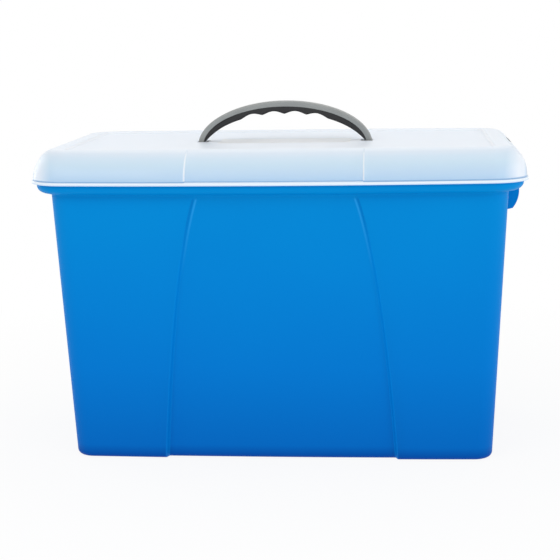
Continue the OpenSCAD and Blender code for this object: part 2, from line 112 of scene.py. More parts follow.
RIM_TOP = WALL_TOP + RIM_H
LID_TOP = RIM_TOP + LID_H
PANEL_Z = LID_TOP - TOP_RECESS
HANDLE_TOP = PANEL_Z + HANDLE_H
PIVOT_Z = PANEL_Z - PIVOT_DROP
RIM_X = TUB_TOP[0] + RIM_OUT
RIM_Y = TUB_TOP[1] + RIM_OUT_Y
LIP_X = RIM_X + LIP_OUT
LIP_Y = RIM_Y + LIP_OUT
LATCH_PIN_X = RIM_X - LATCH_PIN_IN
LATCH_PIN_Z = RIM_TOP + LATCH_PIN_RISE
POCKET_BACK = LATCH_PIN_X - POCKET_PAST_PIN


def mix(a, b, t):
    return a + (b - a) * t


def clamp(t):
    return min(max(t, 0), 1)


def soft_step(t):
    """A smooth rise from 0 to 1 as t goes from 0 to 1."""
    t = clamp(t)
    return t * t * (3 - 2 * t)


# ---- Mesh helpers -----------------------------------------------------------

BEVEL_ANGLE = math.radians(30)
# degrees past which an edge stays sharp, and the same on the lid, and on the tub and handle
SMOOTH_ANGLE = 35
LID_SMOOTH_ANGLE = 32
LOFT_SMOOTH_ANGLE = 40


def loose_object(name, points, faces):
    """An object from points in millimetres, with its faces turned outwards."""
    mesh = bpy.data.meshes.new(name)
    mesh.from_pydata([Vector(p) * MM for p in points], [], faces)
    bm = bmesh.new()
    bm.from_mesh(mesh)
    bmesh.ops.recalc_face_normals(bm, faces=bm.faces)
    bm.to_mesh(mesh)
    bm.free()
    obj = bpy.data.objects.new(name, mesh)
    bpy.context.scene.collection.objects.link(obj)
    return obj


def dress(obj, material, body, nodes=()):
    """Makes an object a piece that rides on a CAD body and may replace CAD nodes."""
    obj.data.materials.clear()
    obj.data.materials.append(material)
    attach(obj, body)
    if nodes:
        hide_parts(*nodes)


def smooth(obj, angle=SMOOTH_ANGLE):
    """Smooth shading, with edges sharper than the angle kept sharp."""
    mesh = obj.data
    mesh.shade_smooth()
    mesh.set_sharp_from_angle(angle=math.radians(angle))


def apply_modifiers(obj):
    """Turns the object's modifiers into its mesh."""
    bpy.context.view_layer.update()
    graph = bpy.context.evaluated_depsgraph_get()
    solid = bpy.data.meshes.new_from_object(obj.evaluated_get(graph), depsgraph=graph)
    obj.modifiers.clear()
    old = obj.data
    obj.data = solid
    bpy.data.meshes.remove(old)


def bevel(obj, width, segments=3):
    """Rounds the edges that are sharper than BEVEL_ANGLE."""
    mod = obj.modifiers.new("bevel", "BEVEL")
    mod.width = width * MM
    mod.segments = segments
    mod.limit_method = "ANGLE"
    mod.angle_limit = BEVEL_ANGLE
    apply_modifiers(obj)


def combine(obj, tools, operation):
    """Joins or cuts loose tool solids into an object, and deletes them."""
    for tool in tools:
        mod = obj.modifiers.new("boolean", "BOOLEAN")
        mod.operation = operation
        mod.solver = "EXACT"
        mod.object = tool
    apply_modifiers(obj)
    for tool in tools:
        mesh = tool.data
        bpy.data.objects.remove(tool)
        bpy.data.meshes.remove(mesh)


def loft_faces(levels, sides):
    """Faces of a closed solid whose points lie in levels, with one face over each end."""
    faces = [list(range(sides - 1, -1, -1)), [(levels - 1) * sides + j for j in range(sides)]]
    faces += [[i * sides + j, i * sides + (j + 1) % sides,
               (i + 1) * sides + (j + 1) % sides, (i + 1) * sides + j]
              for i in range(levels - 1) for j in range(sides)]
    return faces


def loft(name, rings):
    """A solid through rings that have the same number of points."""
    return loose_object(name, [p for r in rings for p in r], loft_faces(len(rings), len(rings[0])))


# how each plane's outline, a and b, and the way across it, c, become x, y and z
PLANES = {"XZ": lambda a, b, c: (a, c, b), "YZ": lambda a, b, c: (c, a, b), "XY": lambda a, b, c: (a, b, c)}


def prism(name, outline, low, high, plane="XZ"):
    """A solid over an outline in a plane, between two places across it."""
    turn = PLANES[plane]
    n = len(outline)
    points = [turn(a, b, c) for c in (low, high) for a, b in outline]
    faces = [list(range(n)), list(range(2 * n - 1, n - 1, -1))]
    faces += [[i, n + i, n + (i + 1) % n, (i + 1) % n] for i in range(n)]
    return loose_object(name, points, faces)


BLOCK_SEGMENTS = 4


def block(name, low, high, round_by):
    outline = [(low[0], low[1]), (high[0], low[1]), (high[0], high[1]), (low[0], high[1])]
    obj = prism(name, outline, low[2], high[2], "XY")
    if round_by:
        bevel(obj, round_by, BLOCK_SEGMENTS)
    return obj


def end_block(name, side, xs, half_y, zs, round_by=0.0):
    """A block on one side of the middle, between two x and two z, and as deep either way."""
    low_x, high_x = sorted((side * xs[0], side * xs[1]))
    return block(name, (low_x, -half_y, zs[0]), (high_x, half_y, zs[1]), round_by)


def dish(name, half_x, half_y, depth, slope):
    """A cutting tool for a shallow dish in the lid's top, with sloping sides."""
    corners = ((-1, -1), (1, -1), (1, 1), (-1, 1))
    levels = ((slope, PANEL_Z - depth), (0.0, PANEL_Z), (0.0, PANEL_Z + depth))
    return loft(name, [[(sx * (half_x - inset), sy * (half_y - inset), z) for sx, sy in corners]
                       for inset, z in levels])


def mirrored(outline):
    return [(-x, z) for x, z in reversed(outline)]


# ---- Rings ------------------------------------------------------------------

SIDE_STEPS = 5
SLOPE_STEPS = 6
MIDDLE_STEPS = 12
CORNER_STEPS = 12


def side_columns(reach, middle, slope):
    """X of each upright line along a long side, close together across the slopes of its middle."""
    half = [(middle - slope) * i / MIDDLE_STEPS for i in range(MIDDLE_STEPS)]
    half += [middle - slope + 2 * slope * i / SLOPE_STEPS for i in range(SLOPE_STEPS)]
    half += [middle + slope + (reach - middle - slope) * i / SIDE_STEPS for i in range(SIDE_STEPS + 1)]
    return [-x for x in reversed(half[1:])] + half


def set_back(x, middle, slope):
    """0 outside the set-back middle and 1 inside it, with a soft slope between."""
    return soft_step((middle + slope - abs(x)) / (2 * slope))


def ring(z, half_x, half_y, bow, radius, middle, slope, cut):
    """One closed level of a rounded rectangle with bowed long sides, set back by cut in the middle."""
    lean = math.atan(2 * bow / (half_x - radius))
    reach = half_x - radius + radius * math.sin(lean)
    centre_x, centre_y = half_x - radius, half_y - radius * math.cos(lean)
    side = [(x, half_y + bow * (1 - (x / reach) ** 2) - cut * set_back(x, middle, slope))
            for x in side_columns(reach, middle, slope)]
    arc = []
    for i in range(1, CORNER_STEPS + 1):
        t = mix(math.pi / 2 - lean, 0, i / CORNER_STEPS)
        arc.append((centre_x + radius * math.cos(t), centre_y + radius * math.sin(t)))
    points = [(x, -y) for x, y in side + arc]
    points += arc[::-1] + side[::-1]
    points += [(-x, y) for x, y in arc]
    points += [(-x, -y) for x, y in reversed(arc)]
    return [(x, y, z) for x, y in points]


# ---- Tub --------------------------------------------------------------------

# middle point of the curve of the panel's edge: its share of the way down and of the way out
EDGE_PULL = (0.24, 0.62)
PANEL_FADE = 6.0               # the panel's step dies out over this height under the rim
TUB_MIN_R = 6.0

WALL_LEVELS = 22
OUTER_FOOT_LEVELS = 6
INNER_FOOT_LEVELS = 5
FLARE_LEVELS = 10
FLARE_POWER = 2.6              # how squarely the wall turns out into the rim
FLARE_STOP = 0.6               # the flare ends this far below the rim's top
# (drop from the wall's top, reach outwards), just below the flare
WALL_HEAD = ((3.0, 0.0), (0.8, 0.05), (0.1, 0.6))
# (drop from the rim's top, inset from its edge), over the rim and down inside it
RIM_TURN = ((0.2, 0.15), (0.0, 0.6), (0.0, WALL - 0.4), (0.4, WALL))
# (rise over the ledge, inset from the rim's edge), from inside the rim onto the ledge
LEDGE_TURN = ((1.2, WALL), (0.3, WALL + 0.4), (0.0, WALL + 1.3))
# (drop from the ledge, reach past the wall's inner face), from the ledge down into the tub
MOUTH_TURN = ((0.0, 1.2), (0.4, 0.4), (1.5, 0.0))


def panel_w(z):
    """Half width of the set-back panel at height z."""
    t = 1 - clamp(z / WALL_TOP)
    k, pull = EDGE_PULL
    s = (-k + math.sqrt(k * k + (1 - 2 * k) * t)) / (1 - 2 * k)
    return mix(PANEL_TOP_W, PANEL_BASE_W, 2 * s * (1 - s) * pull + s * s)


def tub_ring(z, grow, grow_y=None):
    """One level of the tub, outside its walls by grow, or by grow_y along the sides."""
    t = min(z / WALL_TOP, 1)
    grow_y = grow if grow_y is None else grow_y
    fade = clamp((WALL_TOP - z) / PANEL_FADE)
    return ring(z, mix(TUB_BASE[0], TUB_TOP[0], t) + grow,
                mix(TUB_BASE[1], TUB_TOP[1], t) + grow_y,
                mix(BOW_BASE, BOW_TOP, t),
                max(CORNER_R - CORNER_R_LESS * (1 - t) + grow, TUB_MIN_R),
                panel_w(z), PANEL_SLOPE,
                fade * mix(PANEL_DEPTH, PANEL_TOP_DEPTH, t))


def rounded_foot(steps, floor_z):
    """(height, inset) pairs round the edge of a floor."""
    turns = [math.pi / 2 * i / steps for i in range(steps + 1)]
    return [(floor_z + FOOT_R * (1 - math.cos(t)), FOOT_R * (1 - math.sin(t))) for t in turns]


def tub_levels():
    """The tub's rings: up the outside, over the rim and the ledge, and down the inside."""
    rings = [tub_ring(z, -inset) for z, inset in rounded_foot(OUTER_FOOT_LEVELS, 0)]
    wall_zs = [FOOT_R + (WALL_TOP - FOOT_R) * i / WALL_LEVELS for i in range(1, WALL_LEVELS)]
    rings += [tub_ring(z, 0) for z in wall_zs]
    rings += [tub_ring(WALL_TOP - drop, out) for drop, out in WALL_HEAD]
    for i in range(1, FLARE_LEVELS + 1):
        t = math.pi / 2 * i / FLARE_LEVELS
        out = math.sin(t) ** (2 / FLARE_POWER)
        rise = 1 - math.cos(t) ** (2 / FLARE_POWER)
        rings.append(tub_ring(WALL_TOP + rise * (RIM_H - FLARE_STOP), out * RIM_OUT, out * RIM_OUT_Y))
    rings += [tub_ring(RIM_TOP - drop, RIM_OUT - inset, RIM_OUT_Y - inset) for drop, inset in RIM_TURN]
    ledge = WALL_TOP + LEDGE_RISE
    rings += [tub_ring(ledge + rise, RIM_OUT - inset, RIM_OUT_Y - inset) for rise, inset in LEDGE_TURN]
    rings += [tub_ring(ledge - drop, reach - WALL) for drop, reach in MOUTH_TURN]
    rings += [tub_ring(z, -WALL) for z in reversed(wall_zs)]
    rings += [tub_ring(z, -inset - WALL) for z, inset in reversed(rounded_foot(INNER_FOOT_LEVELS, FLOOR))]
    return rings


END_GRIP_SHELF = WALL_TOP - 2.5
END_GRIP_LOW = END_GRIP_SHELF - END_GRIP_H
END_GRIP_R = 27.0
END_GRIP_TURN = 39             # degrees that the hood's skin curves through
END_GRIP_ARC_Z = END_GRIP_LOW + END_GRIP_R * math.sin(math.radians(END_GRIP_TURN))
END_GRIP_STEPS = 10
END_GRIP_ROUND = 0.6
CHEEK_DROP = 2.0               # how far the cheeks reach below the skin, at the wall


def end_wall_x(z):
    """X of the end wall's outer face at height z."""
    return mix(TUB_BASE[0], TUB_TOP[0], z / WALL_TOP)


def end_grip_arc(inset):
    """The skin's curve, from under the rim down and in, inset from its outer face."""
    radius = END_GRIP_R - inset
    turns = [math.radians(END_GRIP_TURN * i / END_GRIP_STEPS) for i in range(END_GRIP_STEPS + 1)]
    return [(RIM_X - END_GRIP_R + radius * math.cos(t), END_GRIP_ARC_Z - radius * math.sin(t)) for t in turns]


def end_grip_tools(side):
    """The shelf with its skin, and the two cheeks, of one end grip."""
    top = [(end_wall_x(END_GRIP_SHELF), END_GRIP_SHELF), (RIM_X, END_GRIP_SHELF)]
    shelf_low = END_GRIP_SHELF - SKIN_T
    cheek_low = END_GRIP_LOW - CHEEK_DROP
    skin = top + end_grip_arc(0) + end_grip_arc(SKIN_T)[::-1]
    skin += [(RIM_X - SKIN_T, shelf_low), (end_wall_x(shelf_low), shelf_low)]
    cheek = top + end_grip_arc(0) + [(end_wall_x(cheek_low), cheek_low)]
    if side < 0:
        skin, cheek = mirrored(skin), mirrored(cheek)
    inner = END_GRIP_Y - SKIN_T
    return [prism("skin", skin, -END_GRIP_Y, END_GRIP_Y),
            prism("cheek", cheek, -END_GRIP_Y, -inner),
            prism("cheek", cheek, inner, END_GRIP_Y)]


def build_tub(material):
    tub = loft("tub_shell", tub_levels())
    dress(tub, material, "tub", ["tub"])
    for side, name in ((1, "right_end_grip"), (-1, "left_end_grip")):
        grip, *cheeks = end_grip_tools(side)
        combine(grip, cheeks, "UNION")
        grip.name = name + "_hood"
        bevel(grip, END_GRIP_ROUND)
        dress(grip, material, "tub", [name])
        smooth(grip)
    smooth(tub, LOFT_SMOOTH_ANGLE)


# ---- Lid --------------------------------------------------------------------

SKIRT_IN = LIP_OUT + WALL + SKIRT_GAP
LIP_R_MORE = 2.0               # how much rounder the lip's corners are than the rim's
LID_R = CORNER_R + RIM_OUT + LIP_R_MORE
LID_MIN_R = 10.0
FLAT_X = BORDER_X - BORDER_FLAT_X
FLAT_Y = BORDER_Y - BORDER_FLAT_Y
FACE_H = LID_H - LIP_T
FACE_CURVE = (1.95, 1.5)       # powers of the rounded face's profile, along the sides
END_CURVE = (2.2, 1.7)         # the same, at the ends
LIP_TURN = 0.8                 # how fast the corners tighten on the way in, at the lip and skirt
FACE_TURN = 0.95               # the same, on the face and the border

# (height over the panel, distance past the border's edge), up from the panel
PANEL_EDGE = ((0.0, 2.2), (0.1, 1.6), (0.4, 1.1), (1.2, 0.6), (1.75, 0.2), (2.1, -0.5))
BORDER_ROUND = 1.6             # from the border's edge out to where it is level
BORDER_STEP_MORE = 0.2         # how much deeper the long sides are set back there
# shares of the drop from the border to the lip, outside and inside
FACE_FALLS = (0, 0.004, 0.012, 0.025, 0.045, 0.07, 0.1, 0.14, 0.19, 0.25, 0.32, 0.4, 0.5, 0.6, 0.72,
              0.85, 0.95)
INNER_FALLS = (0.85, 0.7, 0.55, 0.42, 0.32, 0.23, 0.16, 0.1, 0.05)
# (height over the lip, distance outwards, share of the middle's depth), at the face's foot
FACE_FOOT = ((0.5, 0.0, 1.0), (0.1, 0.25, 0.6))
# (distance in, drop from the lip's top), round the lip's edge
LIP_EDGE = ((0.55, 0.05), (0.2, 0.2), (0.0, 0.6), (0.0, 2.2), (0.2, 2.65), (0.6, 2.8))
# (height over the skirt's low edge, distance in from its outer face), round that edge
SKIRT_EDGE = ((0.5, 0.2), (0.0, 0.7), (0.0, LID_T - 0.5), (0.5, LID_T))
SKIRT_HEAD = 0.5               # the skirt's inner face ends this far below the lip's top
# how far past the border's edge the underside turns, before the lid's thickness is taken off
UNDER_BORDER = -0.8
UNDER_PANEL = 1.2


def lid_ring(z, in_x, in_y, cut, tighten=LIP_TURN):
    """One level of the lid, inside the lip's edge by in_x and in_y."""
    bow = mix(BOW_TOP, BORDER_BOW, min(in_y / BORDER_Y, 1))
    radius = max(LID_R - tighten * in_x, LID_MIN_R)
    return ring(z, LIP_X - in_x, LIP_Y - in_y, bow, radius, FACE_W, FACE_SLOPE, cut)


def even_ring(z, inset, cut=0.0):
    """A level at one distance from the lip's edge all round."""
    return lid_ring(z, inset, inset, cut)


def border_ring(z, past, cut=FACE_DEPTH / 2):
    """A level near the border's inner edge, inside it by past."""
    return lid_ring(z, BORDER_X + past, BORDER_Y + past, cut, FACE_TURN)


def face_share(fall, curve):
    """Share of the way in to the border's flat, at a share of the drop to the lip."""
    p, q = curve
    return 1 - max(1 - (1 - fall) ** p, 0) ** (1 / q)


def face_ring(fall, thick=0.0, down=0.0):
    """A level of the rounded face, or of its inner side where thick and down are given."""
    share = face_share(fall, FACE_CURVE)
    end_share = face_share(fall, END_CURVE)
    return lid_ring(LID_TOP - fall * FACE_H - down, mix(FACE_IN, FLAT_X, end_share) + thick,
                    mix(FACE_IN, FLAT_Y, share) + thick, FACE_DEPTH, FACE_TURN)


def lid_levels():
    """The lid's rings: from the panel out over the border, face, lip and skirt, and back inside."""
    lip_top = RIM_TOP + LIP_T
    skirt_low = RIM_TOP - SKIRT_H
    rings = [border_ring(PANEL_Z + rise, past) for rise, past in PANEL_EDGE]
    rings.append(border_ring(LID_TOP, -BORDER_ROUND, FACE_DEPTH / 2 + BORDER_STEP_MORE))
    rings += [face_ring(fall) for fall in FACE_FALLS]
    rings += [even_ring(lip_top + rise, FACE_IN - out, FACE_DEPTH * share) for rise, out, share in FACE_FOOT]
    rings += [even_ring(lip_top - drop, inset) for inset, drop in LIP_EDGE]
    rings.append(even_ring(RIM_TOP, SKIRT_IN))
    rings += [even_ring(skirt_low + rise, SKIRT_IN + inset) for rise, inset in SKIRT_EDGE]
    rings.append(even_ring(lip_top - SKIRT_HEAD, SKIRT_IN + LID_T))
    rings.append(even_ring(lip_top, FACE_IN + LID_T, FACE_DEPTH))
    rings += [face_ring(fall, LID_T, LID_T / 2) for fall in INNER_FALLS]
    rings.append(border_ring(LID_TOP - LID_T, UNDER_BORDER - LID_T))
    rings.append(border_ring(PANEL_Z - LID_T, UNDER_PANEL - LID_T))
    return rings


POCKET_LOW = RIM_TOP + 0.2
POCKET_HIGH = LID_TOP - 4.2
POCKET_NOSE = 1.5              # how far the pocket's wall reaches past the pin


def pocket_outline():
    """The wall behind and beside a latch, seen along Y."""
    return [(POCKET_BACK - LID_T, POCKET_LOW), (LIP_X - FACE_IN - LID_T / 2, POCKET_LOW),
            (LATCH_PIN_X + POCKET_NOSE, LATCH_PIN_Z), (POCKET_BACK, POCKET_HIGH),
            (POCKET_BACK - LID_T, POCKET_HIGH)]


ARCH_IN_W = HANDLE_W - ARCH_FOOT_T
ARCH_BASE = PANEL_Z - 4.6
ARCH_IN_TOP = HANDLE_TOP - ARCH_T
GRIP_W = ARCH_IN_W + 13.2
GRIP_BASE = ARCH_BASE - 37.8
GRIP_LOW_TOP = ARCH_IN_TOP - GRIP_T
GRIP_POWER = 2.3


def grip_edge_x(z):
    """X of the soft grip's lower edge at height z."""
    rise = (z - GRIP_BASE) / (GRIP_LOW_TOP - GRIP_BASE)
    return GRIP_W * (1 - rise ** GRIP_POWER) ** (1 / GRIP_POWER)


LEG_CLEAR = (PIVOT_DROP + LEG_Y * math.sin(TILT)) / math.cos(TILT)
SLOT_IN = grip_edge_x(PIVOT_Z + LEG_CLEAR) - SIDE_GAP
SLOT_OUT = HANDLE_W + SIDE_GAP
SLOT_Y = LEG_Y * math.cos(TILT) + LEG_CLEAR * math.sin(TILT) + SIDE_GAP
EAR_T = 3.1
EAR_Y = LEG_Y + 1.0

PAST = 2.0                     # how far a cutting tool reaches past what it cuts
POCKET_SINK = 0.4              # how far the pocket's cut goes into the lip
LIP_GAP = 0.25                 # from the rim's edge out to the lip's cut
TROUGH_SINK = 1.5              # from the panel down to the top of the trough's solid
TROUGH_ROUND = 1.0
EAR_SINK = 1.2                 # the same for the handle's ears
EAR_ROUND = 0.8


def lid_tools():
    """What is joined to the lid's shell, and what is then cut out of it."""
    half_x, half_y, depth = TROUGH
    adds = [block("trough", (-half_x - LID_T, -half_y - LID_T, PANEL_Z - depth - LID_T),
                  (half_x + LID_T, half_y + LID_T, PANEL_Z - TROUGH_SINK), TROUGH_ROUND)]
    cuts = [dish("trough_cut", half_x, half_y, depth, TROUGH_SLOPE)]
    outline = pocket_outline()
    for side in (1, -1):
        wall = outline if side > 0 else mirrored(outline)
        adds.append(prism("pocket", wall, -POCKET_Y - CHEEK_T, POCKET_Y + CHEEK_T))
        cuts.append(end_block("pocket_cut", side, (POCKET_BACK, LIP_X + PAST), POCKET_Y,
                              (RIM_TOP + LIP_T - POCKET_SINK, LID_TOP + PAST)))
        cuts.append(end_block("lip_cut", side, (RIM_X + LIP_GAP, LIP_X + PAST), POCKET_Y,
                              (RIM_TOP - PAST, RIM_TOP + LIP_T + PAST / 2)))
        for ear_x in (SLOT_IN - EAR_T, SLOT_OUT):
            adds.append(end_block("ear", side, (ear_x, ear_x + EAR_T), EAR_Y,
                                  (PIVOT_Z - LEG_Y, PANEL_Z - EAR_SINK), EAR_ROUND))
        cuts.append(end_block("slot", side, (SLOT_IN, SLOT_OUT), SLOT_Y,
                              (PANEL_Z - LID_T - PAST / 2, PANEL_Z + PAST)))
    return adds, cuts


def build_lid(material):
    lid = loft("lid_shell", lid_levels()[::-1])
    dress(lid, material, "lid", ["lid"])
    adds, cuts = lid_tools()
    combine(lid, adds, "UNION")
    combine(lid, cuts, "DIFFERENCE")
    smooth(lid, LID_SMOOTH_ANGLE)


# ---- Handle -----------------------------------------------------------------

ARCH_STEPS = 72
ARCH_MARGIN = 0.03             # radians left out of the arch at each foot
LEG_RISE = 16.0                # the legs widen between once and twice this height over the pivot
FOOT_MIN_Y = 1.0
# the most that an edge is rounded, as shares of a section's thickness and half depth
MOST_OF_LENGTH = 0.45
MOST_OF_HALF = 0.9
# (outer, inner) radius of the rounded edges
FOOT_ROUND = (1.2, 0.8)
ARCH_ROUND = (1.8, 0.4)
GRIP_ROUND = (0.5, 2.4)
# heights of the foot's sections over the pivot
FOOT_LEVELS = (-LEG_Y, -6.4, -5.2, -3.0, 0.0)
FOOT_JOIN = 0.5                # the last section, over the base of the arch
HUB_R = PIVOT_DROP - 0.3
HUB_SIDES = 48
HUB_INSET = 1.0                # from the arch's outer face in to the hub's end
HUB_ROUND = 0.5


def arch_point(t, half_w, top):
    """A point of an arch that is half of an ellipse, at an angle from its right foot."""
    return (half_w * math.cos(t), ARCH_BASE + (top - ARCH_BASE) * math.sin(t))


def half_depth(z, half):
    """Half depth of the handle at height z: narrow legs that widen to the grip."""
    return mix(LEG_Y, half, soft_step((z - PIVOT_Z - LEG_RISE) / LEG_RISE))


def section(outer, inner, half, rounding, steps=5):
    """A rounded rectangle between an outer and an inner point of the arch."""
    ox, oz = outer
    ix, iz = inner
    length = math.hypot(ox - ix, oz - iz)
    ux, uz = (ox - ix) / length, (oz - iz) / length
    r_out, r_in = [min(radius, length * MOST_OF_LENGTH, half * MOST_OF_HALF) for radius in rounding]
    points = []
    corners = [(length - r_out, half - r_out, r_out, 0), (r_in, half - r_in, r_in, 1),
               (r_in, r_in - half, r_in, 2), (length - r_out, r_out - half, r_out, 3)]
    for along, across, radius, quarter in corners:
        for i in range(steps + 1):
            t = math.pi / 2 * (quarter + i / steps)
            s, y = along + radius * math.cos(t), across + radius * math.sin(t)
            points.append((ix + ux * s, y, iz + uz * s))
    return points


def sweep(name, sections, material, node):
    """A piece of the handle through its sections."""
    obj = loft(name, sections)
    dress(obj, material, "handle", [node])
    smooth(obj, LOFT_SMOOTH_ANGLE)


def arch_foot(side, z):
    """A section of one foot, which narrows below the pivot."""
    drop = max(PIVOT_Z - z, 0)
    half = math.sqrt(max(LEG_Y ** 2 - drop ** 2, FOOT_MIN_Y ** 2))
    return section((side * HANDLE_W, z), (side * ARCH_IN_W, z), half, FOOT_ROUND)


def build_hub(side, name, material):
    """The round boss beside one foot, about the pivot."""
    turns = [math.tau * i / HUB_SIDES for i in range(HUB_SIDES)]
    rim = [(HUB_R * math.cos(t), PIVOT_Z + HUB_R * math.sin(t)) for t in turns]
    low, high = sorted((side * (SLOT_IN + SIDE_GAP), side * (HANDLE_W - HUB_INSET)))
    hub = prism(name, rim, low, high, "YZ")
    bevel(hub, HUB_ROUND)
    dress(hub, material, "handle")
    smooth(hub)


def build_handle(material):
    """The grey arch, swept from foot to foot, with a hub beside each foot."""
    foot_zs = [PIVOT_Z + rise for rise in FOOT_LEVELS] + [ARCH_BASE + FOOT_JOIN]
    sections = [arch_foot(1, z) for z in foot_zs]
    for i in range(ARCH_STEPS + 1):
        t = mix(ARCH_MARGIN, math.pi - ARCH_MARGIN, i / ARCH_STEPS)
        outer = arch_point(t, HANDLE_W, HANDLE_TOP)
        inner = arch_point(t, ARCH_IN_W, ARCH_IN_TOP)
        sections.append(section(outer, inner, half_depth(outer[1], GRIP_Y), ARCH_ROUND))
    sections += [arch_foot(-1, z) for z in reversed(foot_zs)]
    sweep("handle_arch", sections, material, "handle")
    for side, name in ((1, "right_hub"), (-1, "left_hub")):
        build_hub(side, name, material)


GRIP_STEPS = 220
GRIP_END_RISE = 0.4            # from the panel up to the soft grip's ends
GRIP_BITE = 0.15               # how far the soft grip goes into the arch
GRIP_SPREAD = 1.2              # how much further out its top lies than its lower edge, at its ends
GRIP_LESS_Y = 0.5              # how much narrower it is than the arch, each way
GRIP_WIDEN = 4.0               # how much lower than the arch it starts to widen
FINGER_REACH = 2 * FINGER_PITCH
FINGER_POWER = 1.25


def grip_inner(x):
    """Height of the soft grip's lower edge, with four finger hollows between five ridges."""
    rise = max(1 - (abs(x) / GRIP_W) ** GRIP_POWER, 0) ** (1 / GRIP_POWER)
    z = GRIP_BASE + (GRIP_LOW_TOP - GRIP_BASE) * rise
    if abs(x) < FINGER_REACH:
        z += FINGER_DEPTH * math.sin(math.pi * ((x / FINGER_PITCH) % 1.0)) ** FINGER_POWER
    return z


def build_grip(material):
    """The soft black grip, swept from one end to the other under the arch."""
    sections = []
    reach = grip_edge_x(PANEL_Z + GRIP_END_RISE)
    for i in range(GRIP_STEPS + 1):
        x = reach * math.cos(math.pi * i / GRIP_STEPS)
        inner = (x, grip_inner(x))
        spread = 1 + (GRIP_SPREAD / ARCH_IN_W) * abs(x) / reach
        t = math.acos(max(min(x * spread / ARCH_IN_W, 1), -1))
        outer = arch_point(t, ARCH_IN_W + GRIP_BITE, ARCH_IN_TOP + GRIP_BITE)
        half = half_depth(inner[1] + GRIP_WIDEN, GRIP_Y - GRIP_LESS_Y)
        sections.append(section(outer, inner, half, GRIP_ROUND, 6))
    sweep("handle_soft_grip", sections, material, "handle_grip")


# ---- Small parts: the CAD solids with rounded edges -------------------------

WELD = 0.00001                 # metres within which points become one
FLAT_ANGLE = math.radians(1)


def rounded_copy(node, body, material, width, segments=3):
    """A copy of a CAD node's mesh, with its flat faces joined up and its edges rounded."""
    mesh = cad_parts[node].data.copy()
    bm = bmesh.new()
    bm.from_mesh(mesh)
    bmesh.ops.remove_doubles(bm, verts=bm.verts, dist=WELD)
    bmesh.ops.dissolve_limit(bm, angle_limit=FLAT_ANGLE, verts=bm.verts, edges=bm.edges)
    bm.to_mesh(mesh)
    bm.free()
    obj = bpy.data.objects.new(node + "_finished", mesh)
    bpy.context.scene.collection.objects.link(obj)
    bevel(obj, width, segments)
    dress(obj, material, body, [node])
    smooth(obj)


# ---- Materials --------------------------------------------------------------

NOISE_MIDDLE = (0.3, 0.7)      # most of a noise's values lie between these


def srgb(r, g, b):
    """An 0 to 255 sRGB colour as linear RGBA."""
    def linear(c):
        c /= 255
        return c / 12.92 if c <= 0.04045 else ((c + 0.055) / 1.055) ** 2.4
    return (linear(r), linear(g), linear(b), 1.0)


